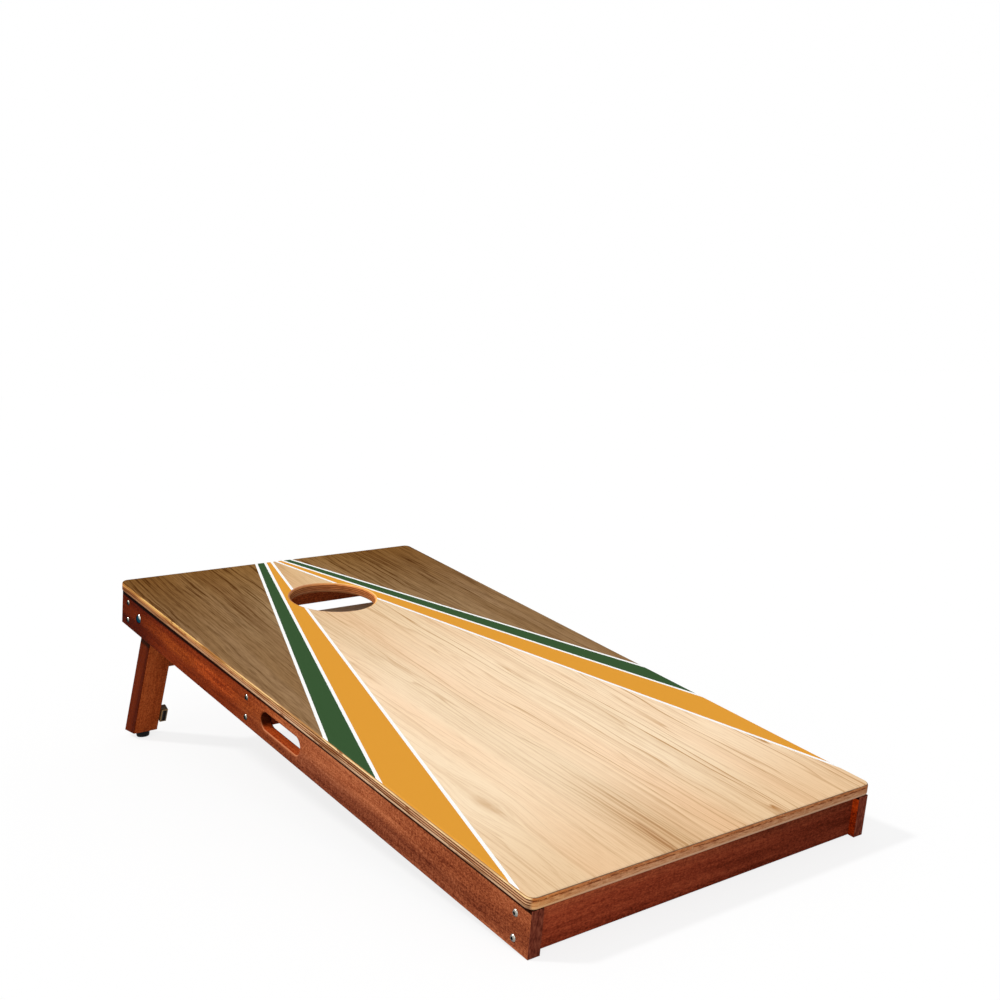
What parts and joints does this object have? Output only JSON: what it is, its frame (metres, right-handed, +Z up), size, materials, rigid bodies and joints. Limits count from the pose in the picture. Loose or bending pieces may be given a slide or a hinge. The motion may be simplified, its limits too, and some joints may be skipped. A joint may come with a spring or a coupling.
{
  "type": "cornhole board",
  "caption": "Sloping wooden cornhole board with a round bag hole, a screwed rail frame with hand slots, and a joined pair of legs on rubber feet that folds under the deck.",
  "frame": {"origin": "on the floor, under the middle of the standing board's bounding box", "axes": "+X to the right seen from the player's end, +Y from the low front end to the high rear end, +Z up"},
  "size_m": [0.6096, 1.2742, 0.3041],
  "materials": {
    "deck_plywood": "plywood with a printed top of stripes, satin clear coat",
    "rail_mahogany": "mahogany brown stain, semi-gloss",
    "cross_mahogany": "dark mahogany stain, semi-gloss",
    "leg_mahogany": "mahogany brown stain, semi-gloss",
    "crossbar_wood": "mahogany brown stain with a pale sapwood upper edge, semi-gloss",
    "dowel_beech": "bare beech",
    "zinc_steel": "bright zinc plate",
    "strike_steel": "zinc-plated strip steel",
    "pole_steel": "dark plain steel",
    "magnet": "sintered ferrite, matt",
    "catch_housing": "brown moulded plastic",
    "nylon": "white nylon",
    "foot_rubber": "black moulded rubber"
  },
  "bodies": {
    "board": {"deck": "deck_plywood", "left_side_rail": "rail_mahogany", "right_side_rail": "rail_mahogany", "front_rail": "cross_mahogany", "rear_rail": "cross_mahogany", "centre_brace": "cross_mahogany", "front_rail_screws": "zinc_steel", "rear_rail_screws": "zinc_steel", "centre_brace_screws": "zinc_steel", "deck_screws": "zinc_steel", "left_pivot_bolt": "zinc_steel", "right_pivot_bolt": "zinc_steel", "spacer_washers": "zinc_steel", "nut_washers": "zinc_steel", "lock_nuts": "zinc_steel", "lock_nut_rings": "nylon", "left_strike_plate": "strike_steel", "right_strike_plate": "strike_steel", "strike_plate_screws": "zinc_steel"},
    "leg_frame": {"left_leg": "leg_mahogany", "right_leg": "leg_mahogany", "leg_crossbar": "crossbar_wood", "crossbar_dowels": "dowel_beech", "left_foot": "foot_rubber", "right_foot": "foot_rubber", "foot_screws": "zinc_steel", "left_catch_housing": "catch_housing", "right_catch_housing": "catch_housing", "catch_magnets": "magnet", "catch_pole_plates": "pole_steel", "catch_screws": "zinc_steel"}
  },
  "joints": [
    {"name": "leg_fold", "type": "hinge", "parent": "board", "child": "leg_frame", "pos_m": [0, 0.49276, 0.24267], "axis": [-1, 0, 0], "range_deg": [0, 108.29]}
  ]
}
